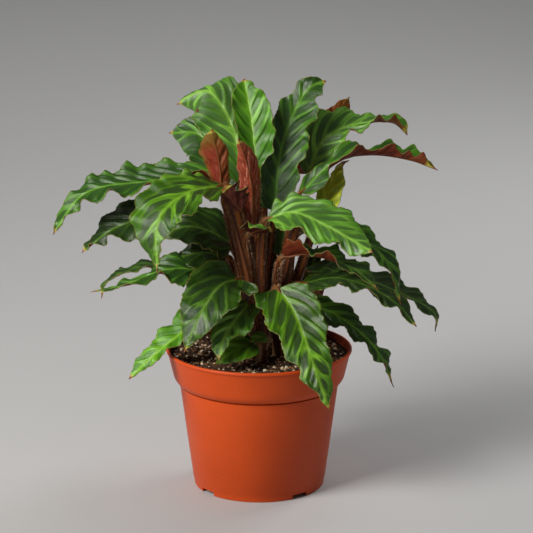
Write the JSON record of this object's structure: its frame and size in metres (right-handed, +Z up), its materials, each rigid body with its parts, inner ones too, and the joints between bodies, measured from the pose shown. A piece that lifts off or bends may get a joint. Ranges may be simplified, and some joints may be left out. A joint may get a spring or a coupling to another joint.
{
  "type": "potted calathea",
  "caption": "Leafy foliage plant with long, wavy-edged, pointed leaves on thin arching stalks, rooted in soil in a round terracotta-coloured plastic nursery pot that stands on its base.",
  "frame": {"origin": "middle of the pot's underside, on the pot's axis, level with what the pot stands on", "axes": "+Z up along the pot's axis, -Y towards the front of the plant, +X to its right as seen from the front"},
  "size_m": [0.312, 0.223, 0.3284],
  "materials": {
    "pot": "satin moulded plastic",
    "soil": "rough crumbled peat and bark",
    "stalk": "matt, finely hairy",
    "leaf": "glossy, quilted between the veins, burgundy underneath",
    "young_leaf": "glossy, quilted between the veins",
    "red_leaf": "velvety burgundy underside seen from the front, green inside"
  },
  "bodies": {
    "root": {"pot": "pot", "soil": "soil", "shoot_middle": "stalk", "shoot_west": "stalk", "shoot_south": "stalk", "shoot_east": "stalk", "shoot_north": "stalk", "leaf_01_back_left_broad": "leaf", "leaf_02_back_left": "leaf", "leaf_03_bright_upright": "young_leaf", "leaf_04_tall_dark": "leaf", "leaf_05_right_high": "leaf", "leaf_06_right_folded": "leaf", "leaf_07_young_rolled": "young_leaf", "leaf_08_front_right_large": "leaf", "leaf_09_right_behind_large": "leaf", "leaf_10_front_right_arched": "leaf", "leaf_11_right_low": "leaf", "leaf_12_right_low_long": "leaf", "leaf_13_right_over_rim": "leaf", "leaf_14_front_hanging": "leaf", "leaf_15_front_left": "leaf", "leaf_16_left_high_front": "leaf", "leaf_17_left_longest": "leaf", "leaf_18_left_middle": "leaf", "leaf_19_left_striped": "leaf", "leaf_20_left_inner": "leaf", "leaf_21_left_low": "leaf", "leaf_22_left_low_behind": "leaf", "leaf_23_left_over_rim": "leaf", "leaf_24_front_low": "leaf", "leaf_25_small_at_soil": "young_leaf", "leaf_26_baby": "leaf", "leaf_27_red_young": "red_leaf", "leaf_28_red_half_rolled": "red_leaf", "leaf_29_inner_dark": "leaf", "leaf_30_inner_right": "leaf", "leaf_31_back_right_high": "leaf", "leaf_32_back_high": "leaf", "leaf_33_back_left_middle": "leaf", "leaf_34_back_right_middle": "leaf", "leaf_35_back_middle": "leaf", "leaf_36_back_left_low": "leaf", "leaf_37_back_right_low": "leaf", "leaf_38_back_left_over_rim": "leaf", "leaf_39_back_over_rim": "leaf", "leaf_40_middle_frilled": "leaf"}
  },
  "joints": []
}
